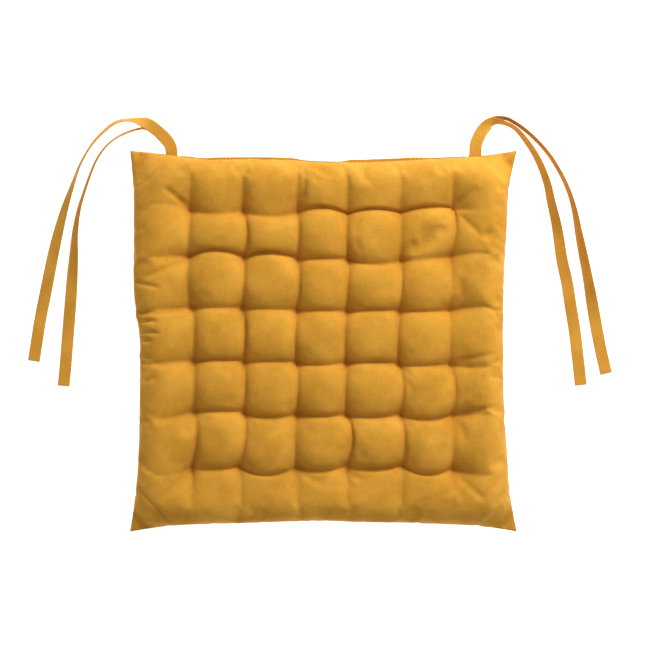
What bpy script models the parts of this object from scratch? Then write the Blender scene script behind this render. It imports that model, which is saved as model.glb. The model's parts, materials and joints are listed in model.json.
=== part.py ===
"""Square tufted chair seat pad with two pairs of flat ties.

The pad lies flat: +Z is up, +Y points at the back edge, where the ties are sewn in,
and the origin is on the seat surface under the middle of the pad. Lengths are metres.
"""

import math

import bmesh
import bpy
import numpy as np

# Driving dimensions of the pad
PAD_WIDTH = 0.400  # along X, from ear to ear
PAD_DEPTH = 0.394  # along Y, from ear to ear
PAD_HEIGHT = 0.045
EDGE_PULL_IN = 0.013  # the middle of each side stands this far inside its ears
EAR_SHARPNESS = 4  # a higher power makes shorter, sharper ears
EDGE_ROUND = 0.034  # the padding rises from the seam to full height over this width
SEAM_HEIGHT = 0.019
COVER_THICKNESS = 0.0006
CLEARANCE = 0.0003  # between pieces that touch

# Tufts: stitches right through the pad
TUFTS_PER_ROW = 6
TUFT_ROWS = 6
TUFT_PITCH_X = 0.0542
TUFT_PITCH_Y = 0.0537
TOP_TUFT_DIP = 0.019
TOP_CREASE_DIP = 0.007  # between neighbouring tufts
BOTTOM_TUFT_DIP = 0.008
BOTTOM_CREASE_DIP = 0.002
THREAD_DIAMETER = 0.0010
STITCH_LENGTH = 0.0020  # the bar of thread that shows at each end of a tuft

# Filling and seam
FILLING_INSET = 0.012  # behind the seam, where the turned-in edges of the cover lie
FIRST_RISE = 0.004  # a row of points this far behind the seam rounds the edge off
SHOULDER = 0.026  # the last row of points before the outer tufts, nearer in a narrow border
SEAM_THREAD_INSET = 0.0012
SEAM_END_GAP = 0.0025  # the thread stops this far from a tie's tab

# Ties: flat cotton tape, folded in the middle and caught in the back seam
TAPE_WIDTH = 0.0125
TAPE_THICKNESS = 0.0012
TAB_WIDTH = 0.0140
TAB_DEPTH_IN_SEAM = 0.007
TIE_INSET = 0.0425  # from the ear to the middle of the tie, along X
TURN_ROOM = 0.0085  # from the edge of the pad to where the tails start to swing
FLOOR_GAP = 0.0003
POINTS_PER_TAIL = 52

# Each tail's route from its pivot: x, y, height over lying on the seat, lean in degrees.
# A lean of 0 is flat, and 90 is on edge with the tape's left edge up, seen along the route
LEFT_OUTER_ROUTE = [
    (0.0000, 0.0000, 0.0198, 0),
    (-0.0020, 0.0065, 0.0195, 0),
    (-0.0065, 0.0120, 0.0190, 0),
    (-0.0125, 0.0185, 0.0178, 0),
    (-0.0205, 0.0250, 0.0154, 4),
    (-0.0285, 0.0295, 0.0112, 25),
    (-0.0375, 0.0320, 0.0045, 70),
    (-0.0475, 0.0325, 0.0010, 85),
    (-0.0565, 0.0310, 0.0000, 72),
    (-0.0645, 0.0265, 0.0000, 62),
    (-0.0715, 0.0205, 0.0000, 62),
    (-0.0785, 0.0135, 0.0000, 70),
    (-0.0855, 0.0045, 0.0000, 80),
    (-0.0915, -0.0055, 0.0000, 87),
    (-0.0965, -0.0155, 0.0000, 86),
    (-0.1005, -0.0260, 0.0000, 78),
    (-0.1045, -0.0375, 0.0000, 62),
    (-0.1085, -0.0490, 0.0000, 44),
    (-0.1125, -0.0615, 0.0000, 24),
    (-0.1160, -0.0740, 0.0000, 9),
    (-0.1195, -0.0875, 0.0000, 3),
    (-0.1235, -0.1045, 0.0000, 0),
    (-0.1275, -0.1235, 0.0000, 0),
    (-0.1325, -0.1485, 0.0000, 0),
    (-0.1375, -0.1735, 0.0000, 0),
    (-0.1415, -0.1985, 0.0000, 0),
    (-0.1445, -0.2185, 0.0000, 0),
]
LEFT_INNER_ROUTE = [
    (0.0000, 0.0000, 0.0168, 0),
    (-0.0020, 0.0065, 0.0160, 0),
    (-0.0060, 0.0125, 0.0142, 5),
    (-0.0120, 0.0185, 0.0100, 18),
    (-0.0195, 0.0230, 0.0045, 45),
    (-0.0280, 0.0245, 0.0010, 80),
    (-0.0365, 0.0230, 0.0000, 86),
    (-0.0455, 0.0200, 0.0000, 86),
    (-0.0545, 0.0160, 0.0000, 85),
    (-0.0625, 0.0110, 0.0000, 85),
    (-0.0695, 0.0045, 0.0000, 85),
    (-0.0755, -0.0035, 0.0000, 85),
    (-0.0805, -0.0125, 0.0000, 85),
    (-0.0845, -0.0225, 0.0000, 84),
    (-0.0885, -0.0335, 0.0000, 78),
    (-0.0925, -0.0455, 0.0000, 66),
    (-0.0965, -0.0585, 0.0000, 54),
    (-0.0995, -0.0735, 0.0000, 42),
    (-0.1015, -0.0895, 0.0000, 30),
    (-0.1025, -0.1075, 0.0000, 19),
    (-0.1040, -0.1275, 0.0000, 9),
    (-0.1055, -0.1485, 0.0000, 3),
    (-0.1075, -0.1735, 0.0000, 0),
    (-0.1095, -0.1985, 0.0000, 0),
    (-0.1115, -0.2235, 0.0000, 0),
    (-0.1135, -0.2445, 0.0000, 0),
]
RIGHT_INNER_ROUTE = [
    (0.0000, 0.0000, 0.0198, 0),
    (0.0005, 0.0070, 0.0195, 0),
    (0.0040, 0.0155, 0.0186, 0),
    (0.0090, 0.0230, 0.0168, 6),
    (0.0150, 0.0280, 0.0132, 32),
    (0.0220, 0.0298, 0.0062, 74),
    (0.0295, 0.0295, 0.0010, 84),
    (0.0370, 0.0270, 0.0000, 84),
    (0.0435, 0.0225, 0.0000, 78),
    (0.0495, 0.0160, 0.0000, 70),
    (0.0555, 0.0080, 0.0000, 60),
    (0.0615, -0.0010, 0.0000, 52),
    (0.0675, -0.0125, 0.0000, 46),
    (0.0725, -0.0245, 0.0000, 40),
    (0.0765, -0.0370, 0.0000, 33),
    (0.0790, -0.0495, 0.0000, 25),
    (0.0820, -0.0620, 0.0000, 16),
    (0.0850, -0.0750, 0.0000, 8),
    (0.0875, -0.0890, 0.0000, 3),
    (0.0910, -0.1120, 0.0000, 0),
    (0.0965, -0.1370, 0.0000, 0),
    (0.1005, -0.1620, 0.0000, 0),
    (0.1045, -0.1865, 0.0000, 0),
    (0.1075, -0.2115, 0.0000, 0),
    (0.1110, -0.2435, 0.0000, 0),
]
RIGHT_OUTER_ROUTE = [
    (0.0000, 0.0000, 0.0168, 0),
    (0.0010, 0.0070, 0.0160, 0),
    (0.0045, 0.0160, 0.0138, 8),
    (0.0100, 0.0246, 0.0092, 24),
    (0.0170, 0.0312, 0.0030, 60),
    (0.0250, 0.0344, 0.0000, 82),
    (0.0335, 0.0338, 0.0000, 86),
    (0.0420, 0.0295, 0.0000, 86),
    (0.0500, 0.0240, 0.0000, 86),
    (0.0590, 0.0165, 0.0000, 86),
    (0.0685, 0.0070, 0.0000, 86),
    (0.0780, -0.0045, 0.0000, 85),
    (0.0860, -0.0170, 0.0000, 84),
    (0.0930, -0.0300, 0.0000, 80),
    (0.0985, -0.0430, 0.0000, 72),
    (0.1025, -0.0560, 0.0000, 60),
    (0.1055, -0.0690, 0.0000, 47),
    (0.1080, -0.0830, 0.0000, 34),
    (0.1110, -0.0980, 0.0000, 21),
    (0.1145, -0.1150, 0.0000, 10),
    (0.1185, -0.1350, 0.0000, 3),
    (0.1230, -0.1600, 0.0000, 0),
    (0.1275, -0.1850, 0.0000, 0),
    (0.1325, -0.2100, 0.0000, 0),
    (0.1375, -0.2315, 0.0000, 0),
]

# Sizes that follow from those above
THREAD_RADIUS = THREAD_DIAMETER / 2
TUFT_HOLE = THREAD_RADIUS + CLEARANCE
SEAM_OPENING = max(TAPE_THICKNESS, THREAD_DIAMETER) + 2 * CLEARANCE
FILLING_OFFSET = 2 * (COVER_THICKNESS + CLEARANCE)  # leaves room on the slopes too

CORD_ROUTES = {
    "tie_left_outer": (-1, LEFT_OUTER_ROUTE),
    "tie_left_inner": (-1, LEFT_INNER_ROUTE),
    "tie_right_inner": (1, RIGHT_INNER_ROUTE),
    "tie_right_outer": (1, RIGHT_OUTER_ROUTE),
}


def clear_scene():
    for obj in list(bpy.data.objects):
        bpy.data.objects.remove(obj, do_unlink=True)


def make_material(name, color, roughness):
    material = bpy.data.materials.new(name)
    material.use_nodes = True
    shader = material.node_tree.nodes["Principled BSDF"]
    shader.inputs["Base Color"].default_value = (*color, 1.0)
    shader.inputs["Roughness"].default_value = roughness
    shader.inputs["Metallic"].default_value = 0.0
    return material


def place(name, data, material, collection):
    obj = bpy.data.objects.new(name, data)
    data.materials.append(material)
    collection.objects.link(obj)
    return obj


def half_side(length, along):
    """Half the pad's size at a place along the side, where along is -1 to 1 from ear to ear."""
    return length / 2 - EDGE_PULL_IN * (1 - np.abs(along) ** EAR_SHARPNESS)


def stations(length, count, pitch, rows_left_out=0):
    """The grid lines along one direction, as a fixed place and a share of the border.

    Two lines stand at each tuft hole and two between neighbouring tufts. In the border,
    from the outer tufts to the seam, each line is a share of the way. The last array says
    how near each line is to a tuft: 1 at the hole and 0 from a third of the pitch on.
    """
    tufts = (np.arange(count) - (count - 1) / 2) * pitch
    outer = tufts[-1] + TUFT_HOLE
    free = pitch - 2 * TUFT_HOLE
    inside = [tufts - TUFT_HOLE, tufts + TUFT_HOLE]
    for share in (1 / 3, 2 / 3):
        inside.append(tufts[:-1] + TUFT_HOLE + share * free)
    inside = np.sort(np.concatenate(inside))
    border = length / 2 - EDGE_PULL_IN - outer
    shoulder = min(SHOULDER, (border + FILLING_INSET) / 2)
    steps = np.array([shoulder, FILLING_INSET, FIRST_RISE, 0.0])
    shares = 1 - steps[: len(steps) - rows_left_out] / border
    fixed = np.concatenate([np.full(len(shares), -outer), inside, np.full(len(shares), outer)])
    share = np.concatenate([-shares[::-1], np.zeros(len(inside)), shares])
    at_hole = np.isclose(np.abs(inside[:, None] - tufts[None, :]).min(axis=1), TUFT_HOLE)
    nearness = np.concatenate([np.zeros(len(shares)), at_hole, np.zeros(len(shares))])
    return fixed, share, nearness


def pad_grid(rows_left_out=0):
    """The x and y of every grid point, its rise from the seam (0 to 1) and its nearness to tufts."""
    fixed_x, share_x, near_x = stations(PAD_WIDTH, TUFTS_PER_ROW, TUFT_PITCH_X, rows_left_out)
    fixed_y, share_y, near_y = stations(PAD_DEPTH, TUFT_ROWS, TUFT_PITCH_Y, rows_left_out)
    outer_x = fixed_x[-1]
    outer_y = fixed_y[-1]
    nominal_x = fixed_x + share_x * (PAD_WIDTH / 2 - outer_x)
    nominal_y = fixed_y + share_y * (PAD_DEPTH / 2 - outer_y)
    side_x = half_side(PAD_WIDTH, nominal_y / (PAD_DEPTH / 2))[:, None]
    side_y = half_side(PAD_DEPTH, nominal_x / (PAD_WIDTH / 2))[None, :]
    x = fixed_x[None, :] + share_x[None, :] * (side_x - outer_x)
    y = fixed_y[:, None] + share_y[:, None] * (side_y - outer_y)
    rise = rounded(side_x - np.abs(x)) * rounded(side_y - np.abs(y))
    return x, y, rise, near_x[None, :], near_y[:, None]


def rounded(from_edge):
    """A quarter circle: 0 at the edge, 1 from EDGE_ROUND inwards."""
    inward = np.clip(from_edge / EDGE_ROUND, 0, 1)
    return np.sqrt(1 - (1 - inward) ** 2)


def dips(near_x, near_y, tuft_dip, crease_dip):
    return crease_dip * np.maximum(near_x, near_y) + (tuft_dip - crease_dip) * near_x * near_y


def top_height(rise, near_x, near_y):
    """The outer face of the top panel."""
    edge = SEAM_HEIGHT + SEAM_OPENING / 2 + COVER_THICKNESS
    pillow = PAD_HEIGHT - dips(near_x, near_y, TOP_TUFT_DIP, TOP_CREASE_DIP)
    return edge + rise * (pillow - edge)


def bottom_height(rise, near_x, near_y):
    """The outer face of the bottom panel, flat on the seat away from tufts and edges."""
    edge = SEAM_HEIGHT - SEAM_OPENING / 2 - COVER_THICKNESS
    pillow = dips(near_x, near_y, BOTTOM_TUFT_DIP, BOTTOM_CREASE_DIP)
    return edge + rise * (pillow - edge)


def grid_mesh(name, x, y, near_x, near_y):
    """A flat grid with a square hole at each tuft, facing up, with its points in rows along X."""
    rows, columns = x.shape
    bpy.ops.mesh.primitive_grid_add(x_subdivisions=columns - 1, y_subdivisions=rows - 1, size=1)
    made = bpy.context.object
    mesh = made.data
    bpy.data.objects.remove(made, do_unlink=True)
    mesh.name = name
    flat = np.stack([x, y, np.zeros_like(x)], axis=-1)
    mesh.vertices.foreach_set("co", flat.astype(np.float32).ravel())
    at_tuft = (np.broadcast_to(near_x, x.shape) * np.broadcast_to(near_y, x.shape)).ravel() > 0
    builder = bmesh.new()
    builder.from_mesh(mesh)
    holes = [face for face in builder.faces if all(at_tuft[corner.index] for corner in face.verts)]
    bmesh.ops.delete(builder, geom=holes, context="FACES_ONLY")
    builder.to_mesh(mesh)
    builder.free()
    return mesh


def set_heights(mesh, heights):
    points = np.empty(len(mesh.vertices) * 3, np.float32)
    mesh.vertices.foreach_get("co", points)
    points = points.reshape(-1, 3)
    points[:, 2] = heights
    mesh.vertices.foreach_set("co", points.ravel())
    mesh.update()


def cover_panel(name, height, faces_up, material, collection):
    """One woven panel of the cover: an open sheet that Solidify gives its thickness, inwards."""
    x, y, rise, near_x, near_y = pad_grid()
    mesh = grid_mesh(name, x, y, near_x, near_y)
    set_heights(mesh, height(rise, near_x, near_y).ravel())
    if not faces_up:
        mesh.flip_normals()
    obj = place(name, mesh, material, collection)
    wall = obj.modifiers.new("cloth thickness", "SOLIDIFY")
    wall.thickness = COVER_THICKNESS
    wall.offset = -1
    mesh.shade_smooth()


def filling(material, collection):
    """The fibre filling: one solid between the panels, clear of both and of every thread."""
    x, y, rise, near_x, near_y = pad_grid(rows_left_out=2)
    mesh = grid_mesh("filling", x, y, near_x, near_y)
    top = top_height(rise, near_x, near_y).ravel() - FILLING_OFFSET
    bottom = bottom_height(rise, near_x, near_y).ravel() + FILLING_OFFSET
    builder = bmesh.new()
    builder.from_mesh(mesh)
    upper = builder.verts.layers.float.new("upper")
    for vertex, low, high in zip(builder.verts, bottom, top):
        vertex.co.z = low
        vertex[upper] = high
    extruded = bmesh.ops.extrude_face_region(builder, geom=builder.faces[:], use_keep_orig=True)
    for item in extruded["geom"]:
        if isinstance(item, bmesh.types.BMVert):
            item.co.z = item[upper]
    bmesh.ops.recalc_face_normals(builder, faces=builder.faces[:])
    builder.to_mesh(mesh)
    builder.free()
    place("filling", mesh, material, collection)


def thread_curve(name, points, material, collection):
    """A thread of round section along straight stretches."""
    curve = bpy.data.curves.new(name, "CURVE")
    curve.dimensions = "3D"
    curve.bevel_depth = THREAD_RADIUS
    curve.bevel_resolution = 1
    curve.use_fill_caps = True
    spline = curve.splines.new("POLY")
    spline.points.add(len(points) - 1)
    for point, co in zip(spline.points, points):
        point.co = (*co, 1.0)
    return place(name, curve, material, collection)


def tufts(material, collection):
    """One stitch for each tuft: down through the pad, with a short bar at either end."""
    slope = TOP_TUFT_DIP / ((TUFT_PITCH_X - 2 * TUFT_HOLE) / 3)
    lift = slope * (STITCH_LENGTH + THREAD_RADIUS) + THREAD_RADIUS + CLEARANCE
    high = float(top_height(1.0, 1.0, 1.0)) + lift
    low_slope = BOTTOM_TUFT_DIP / ((TUFT_PITCH_X - 2 * TUFT_HOLE) / 3)
    low_lift = low_slope * (STITCH_LENGTH + THREAD_RADIUS) + THREAD_RADIUS + CLEARANCE
    low = float(bottom_height(1.0, 1.0, 1.0)) - low_lift
    for row in range(TUFT_ROWS):
        y = ((TUFT_ROWS - 1) / 2 - row) * TUFT_PITCH_Y
        for column in range(TUFTS_PER_ROW):
            x = (column - (TUFTS_PER_ROW - 1) / 2) * TUFT_PITCH_X
            points = [
                (-STITCH_LENGTH, 0.0, high),
                (0.0, 0.0, high),
                (0.0, 0.0, low),
                (STITCH_LENGTH, 0.0, low),
            ]
            name = f"tuft_r{row + 1}_c{column + 1}"
            stitch = thread_curve(name, points, material, collection)
            stitch.location = (x, y, 0.0)


def tie_pivot(side):
    """Where a tie's tails leave its tab: side is -1 at the left and 1 at the right."""
    x = PAD_WIDTH / 2 - TIE_INSET
    edge = half_side(PAD_DEPTH, x / (PAD_WIDTH / 2))
    return side * x, edge + TURN_ROOM


def seam_point(side_x, side_y, inset):
    """A point of the seam line, where side_x and side_y are -1 to 1 and one of them is an end."""
    x = side_x * (half_side(PAD_WIDTH, side_y) - inset)
    y = side_y * (half_side(PAD_DEPTH, side_x) - inset)
    return float(x), float(y), SEAM_HEIGHT


def seams(material, collection):
    """The seam around the pad from tie to tie, and the closing seam along the back between them."""
    pivot = tie_pivot(1)[0]
    outside = (pivot + TAB_WIDTH / 2 + SEAM_END_GAP) / (PAD_WIDTH / 2)
    inside = (pivot - TAB_WIDTH / 2 - SEAM_END_GAP) / (PAD_WIDTH / 2)
    sides = np.linspace(-1, 1, 11)
    route = [(-outside, 1.0)]
    route += [(-1.0, -s) for s in sides]
    route += [(s, -1.0) for s in sides[1:]]
    route += [(1.0, s) for s in sides[1:]]
    route += [(outside, 1.0)]
    around = [seam_point(a, b, SEAM_THREAD_INSET) for a, b in route]
    closing = [seam_point(s, 1.0, SEAM_THREAD_INSET) for s in np.linspace(-inside, inside, 11)]
    thread_curve("seam_stitching", around, material, collection)
    thread_curve("closing_stitching", closing, material, collection)


def tie_tab(name, side, material, collection):
    """The folded middle of a tie, from between the panels to where the tails lap over and under it."""
    x, y = tie_pivot(side)
    edge = y - TURN_ROOM
    back = edge - TAB_DEPTH_IN_SEAM
    front = y + TAPE_WIDTH / 2
    builder = bmesh.new()
    bmesh.ops.create_cube(builder, size=1)
    bmesh.ops.scale(builder, vec=(TAB_WIDTH, front - back, TAPE_THICKNESS), verts=builder.verts)
    mesh = bpy.data.meshes.new(name)
    builder.to_mesh(mesh)
    builder.free()
    obj = place(name, mesh, material, collection)
    obj.location = (x, (back + front) / 2, SEAM_HEIGHT)


def smooth_route(route, count):
    """Points at even spacing on a Catmull-Rom curve through the route's own points."""
    knots = np.array(route, float)
    ends = np.vstack([2 * knots[0] - knots[1], knots, 2 * knots[-1] - knots[-2]])
    before, start, end, after = ends[:-3], ends[1:-2], ends[2:-1], ends[3:]
    t = np.linspace(0, 1, 12, endpoint=False)[None, :, None]
    before, start, end, after = (p[:, None, :] for p in (before, start, end, after))
    curve = 0.5 * (
        2 * start
        + (end - before) * t
        + (2 * before - 5 * start + 4 * end - after) * t**2
        + (3 * start - before - 3 * end + after) * t**3
    )
    curve = np.vstack([curve.reshape(-1, knots.shape[1]), knots[-1]])
    travelled = np.concatenate([[0], np.cumsum(np.linalg.norm(np.diff(curve[:, :2], axis=0), axis=1))])
    even = np.linspace(0, travelled[-1], count)
    return np.stack([np.interp(even, travelled, column) for column in curve.T], axis=1)


def tie_tail(name, side, route, material, collection):
    """One tail: a flat curve along its route, leaned by its tilt, with the tape's thickness."""
    pivot_x, pivot_y = tie_pivot(side)
    points = smooth_route(route, POINTS_PER_TAIL)
    lean = np.radians(points[:, 3])
    lying = TAPE_WIDTH / 2 * np.abs(np.sin(lean)) + TAPE_THICKNESS / 2 * np.cos(lean) + FLOOR_GAP
    curve = bpy.data.curves.new(name, "CURVE")
    curve.dimensions = "3D"
    curve.twist_mode = "Z_UP"
    curve.extrude = TAPE_WIDTH / 2
    spline = curve.splines.new("POLY")
    spline.points.add(len(points) - 1)
    for index, point in enumerate(spline.points):
        x, y, height, _ = points[index]
        point.co = (pivot_x + x, pivot_y + y, height + lying[index], 1.0)
        point.tilt = lean[index] - math.pi / 2
    obj = place(name, curve, material, collection)
    wall = obj.modifiers.new("tape thickness", "SOLIDIFY")
    wall.thickness = TAPE_THICKNESS
    wall.offset = 0


def main():
    clear_scene()
    collection = bpy.data.collections.new("chair_seat_pad")
    bpy.context.scene.collection.children.link(collection)
    cotton = make_material("cover_cotton", (0.58, 0.27, 0.03), 0.9)
    fibre = make_material("filling_fibre", (0.85, 0.84, 0.80), 1.0)
    thread = make_material("sewing_thread", (0.50, 0.22, 0.02), 0.8)
    tape = make_material("tie_tape", (0.60, 0.29, 0.04), 0.9)
    cover_panel("cover_top", top_height, True, cotton, collection)
    cover_panel("cover_bottom", bottom_height, False, cotton, collection)
    filling(fibre, collection)
    tufts(thread, collection)
    seams(thread, collection)
    tie_tab("tie_left_tab", -1, tape, collection)
    tie_tab("tie_right_tab", 1, tape, collection)
    for name, (side, route) in CORD_ROUTES.items():
        tie_tail(name, side, route, tape, collection)


main()
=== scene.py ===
# %% [markdown]
# # A tufted chair seat pad
# A seat pad is two square panels of woven cotton sewn together round the edge, stuffed with
# fibre, and stitched right through in a grid of tufts. Two tapes, folded in the middle, are
# caught in the back seam and tie it to the chair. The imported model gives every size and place;
# this lesson makes the cloth, the folds, the tapes and their finishes around it.

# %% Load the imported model
import json

import bpy
import numpy as np
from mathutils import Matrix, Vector


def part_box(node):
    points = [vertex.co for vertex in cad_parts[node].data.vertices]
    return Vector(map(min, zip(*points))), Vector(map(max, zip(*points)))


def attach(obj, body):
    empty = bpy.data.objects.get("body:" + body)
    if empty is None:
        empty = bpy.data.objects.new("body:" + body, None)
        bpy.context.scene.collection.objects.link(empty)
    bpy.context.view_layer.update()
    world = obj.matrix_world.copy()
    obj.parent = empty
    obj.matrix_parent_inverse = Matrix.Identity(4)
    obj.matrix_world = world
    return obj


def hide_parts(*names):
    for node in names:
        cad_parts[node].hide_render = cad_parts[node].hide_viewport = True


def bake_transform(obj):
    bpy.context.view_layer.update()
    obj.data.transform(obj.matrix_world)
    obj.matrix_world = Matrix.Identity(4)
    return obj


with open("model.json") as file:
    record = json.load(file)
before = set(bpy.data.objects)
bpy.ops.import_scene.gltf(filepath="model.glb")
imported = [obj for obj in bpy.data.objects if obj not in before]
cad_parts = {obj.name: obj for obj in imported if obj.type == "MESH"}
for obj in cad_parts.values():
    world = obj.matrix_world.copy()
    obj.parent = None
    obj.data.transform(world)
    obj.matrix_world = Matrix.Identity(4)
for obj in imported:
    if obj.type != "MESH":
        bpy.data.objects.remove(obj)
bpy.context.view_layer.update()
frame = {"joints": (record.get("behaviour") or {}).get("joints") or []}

MM = 0.001
pad_low, pad_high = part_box("cover_bottom")[0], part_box("cover_top")[1]
PAD_CENTRE = (pad_low + pad_high) / 2
HALF_WIDTH = (pad_high.x - pad_low.x) / 2
HALF_DEPTH = (pad_high.y - pad_low.y) / 2
SEAM_HEIGHT = (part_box("seam_stitching")[0].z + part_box("seam_stitching")[1].z) / 2
JOINTS = {joint["name"]: joint for joint in frame["joints"]}
print("pad", HALF_WIDTH * 2, "x", HALF_DEPTH * 2, "m, seam at", SEAM_HEIGHT)

# %% [markdown]
# ## Camera, light and floor
# The pad is seen from straight above, so the camera looks down with a long lens, which keeps
# the sides out of sight. One soft lamp stands behind and to the right of the pad and low enough
# to rake across the tufts: each pillow is then bright towards the lamp and dark away from it.
# A pale sky fills the folds, because cloth in daylight has no black shadows.

# %% Camera
CAMERA_HEIGHT = 2.6
LENS = 138
camera = bpy.data.objects.new("camera", bpy.data.cameras.new("camera"))
camera.location = (1.6 * MM, 16.6 * MM, CAMERA_HEIGHT)
camera.data.lens = LENS
bpy.context.scene.collection.objects.link(camera)
bpy.context.scene.camera = camera
bpy.context.scene.view_settings.view_transform = "Standard"


# %% Lamps, sky and floor
def soft_lamp(name, place, size, power):
    """A round area lamp that points at the middle of the pad."""
    data = bpy.data.lights.new(name, "AREA")
    data.shape = "DISK"
    data.size = size
    data.energy = power
    lamp = bpy.data.objects.new(name, data)
    lamp.location = place
    lamp.rotation_euler = (PAD_CENTRE - Vector(place)).to_track_quat("-Z", "Y").to_euler()
    bpy.context.scene.collection.objects.link(lamp)


soft_lamp("window", (0.85, 1.45, 1.05), 0.7, 42)
world = bpy.data.worlds.new("sky")
world.use_nodes = True
world.node_tree.nodes["Background"].inputs["Color"].default_value = (1.0, 1.0, 1.0, 1.0)
world.node_tree.nodes["Background"].inputs["Strength"].default_value = 0.45
bpy.context.scene.world = world

floor_mesh = bpy.data.meshes.new("floor")
floor_mesh.from_pydata([(-6, -6, 0), (6, -6, 0), (6, 6, 0), (-6, 6, 0)], [], [(0, 1, 2, 3)])
floor = bpy.data.objects.new("floor", floor_mesh)
bpy.context.scene.collection.objects.link(floor)
floor_paint = bpy.data.materials.new("white paper")
floor_paint.use_nodes = True
paper = floor_paint.node_tree.nodes["Principled BSDF"]
paper.inputs["Base Color"].default_value = (0.93, 0.93, 0.93, 1.0)
paper.inputs["Roughness"].default_value = 0.9
paper.inputs["Emission Color"].default_value = (1.0, 1.0, 1.0, 1.0)
paper.inputs["Emission Strength"].default_value = 0.8
floor_mesh.materials.append(floor_paint)
print("camera, one lamp and a floor")

# %% [markdown]
# ## Cloth as a shader
# Plain weave is one thread over, one under. Across a thread the surface is round, so its height
# is the absolute sine of the place across it, and a chequer of the two sines says which of the
# two threads is on top. Hand and eye see it less than the slubs: stretched noise along each set
# of threads, where the yarn is thicker or takes the dye more. Both are worked out once, in a
# group, from the cloth's own flat coordinates in millimetres, and every cotton piece uses it.


# %% The weave group
SLUB_STRETCH = (1.1, 0.09)
FADING_SCALE = 0.03
SLUB_TONE = 0.35
YARN_ROUGHNESS = 0.5


def node(tree, kind, **settings):
    made = tree.nodes.new(kind)
    for name, value in settings.items():
        setattr(made, name, value)
    return made


def math_node(tree, operation, first, second=None):
    """A Math node fed by sockets or plain numbers."""
    made = node(tree, "ShaderNodeMath", operation=operation)
    for socket, value in zip(made.inputs, (first, second)):
        if value is None:
            continue
        if isinstance(value, (int, float)):
            socket.default_value = value
        else:
            tree.links.new(value, socket)
    return made.outputs[0]


def noise(tree, vector, scale, stretch, detail=2.0):
    """Noise over the cloth, stretched along X or Y: stretch is the scale on each axis."""
    mapping = node(tree, "ShaderNodeMapping")
    mapping.inputs["Scale"].default_value = (stretch[0], stretch[1], 1.0)
    tree.links.new(vector, mapping.inputs["Vector"])
    made = node(tree, "ShaderNodeTexNoise")
    made.inputs["Scale"].default_value = scale
    made.inputs["Detail"].default_value = detail
    tree.links.new(mapping.outputs["Vector"], made.inputs["Vector"])
    return made.outputs["Fac"]


def weave_group():
    """Height = the upper thread's round back; tone = slubs along both threads and broad fading."""
    group = bpy.data.node_groups.new("plain weave", "ShaderNodeTree")
    group.interface.new_socket("Cloth mm", in_out="INPUT", socket_type="NodeSocketVector")
    group.interface.new_socket("Threads per mm", in_out="INPUT", socket_type="NodeSocketFloat")
    group.interface.new_socket("Height", in_out="OUTPUT", socket_type="NodeSocketFloat")
    group.interface.new_socket("Tone", in_out="OUTPUT", socket_type="NodeSocketFloat")
    entry = node(group, "NodeGroupInput")
    leave = node(group, "NodeGroupOutput")
    split = node(group, "ShaderNodeSeparateXYZ")
    group.links.new(entry.outputs["Cloth mm"], split.inputs[0])
    turns = math_node(group, "MULTIPLY", entry.outputs["Threads per mm"], np.pi)
    across = math_node(group, "SINE", math_node(group, "MULTIPLY", split.outputs["X"], turns))
    along = math_node(group, "SINE", math_node(group, "MULTIPLY", split.outputs["Y"], turns))
    warp = math_node(group, "ABSOLUTE", across)
    weft = math_node(group, "ABSOLUTE", along)
    over = math_node(group, "GREATER_THAN", math_node(group, "MULTIPLY", across, along), 0.0)
    mix = node(group, "ShaderNodeMix", data_type="FLOAT")
    group.links.new(over, mix.inputs["Factor"])
    group.links.new(weft, mix.inputs["A"])
    group.links.new(warp, mix.inputs["B"])
    warp_slub = noise(group, entry.outputs["Cloth mm"], 1.0, SLUB_STRETCH)
    weft_slub = noise(group, entry.outputs["Cloth mm"], 1.0, SLUB_STRETCH[::-1])
    fading = noise(group, entry.outputs["Cloth mm"], FADING_SCALE, (1.0, 1.0), 3.0)
    slubs = math_node(group, "ADD", warp_slub, weft_slub)
    tone = math_node(group, "ADD", math_node(group, "MULTIPLY", slubs, SLUB_TONE), fading)
    tone = math_node(group, "SUBTRACT", tone, SLUB_TONE)
    rough_yarn = math_node(group, "MULTIPLY", slubs, YARN_ROUGHNESS)
    height = math_node(group, "ADD", mix.outputs["Result"], rough_yarn)
    group.links.new(height, leave.inputs["Height"])
    group.links.new(tone, leave.inputs["Tone"])
    return group


WEAVE = weave_group()


# %% [markdown]
# ## Dyed cotton
# The finish of each cotton piece is the same recipe with its own numbers: the tone from the
# weave group picks between a deeper and a lighter yellow, the weave's height feeds a bump, and
# a little sheen stands for the fuzz of loose fibres that catches light at grazing angles. A
# "fold" attribute, which only the cover's panels carry, deepens the yellow in the valleys: that
# is painted shade, darkest where the cloth lies lowest among its neighbours.


# %% Cotton materials
# Painted valley shade: what the cover's yellow is multiplied by where the "fold" attribute is 1
PAINTED_VALLEY_SHADE = (0.84, 0.76, 0.70)
TONE_RANGE = (0.30, 0.70)


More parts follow.
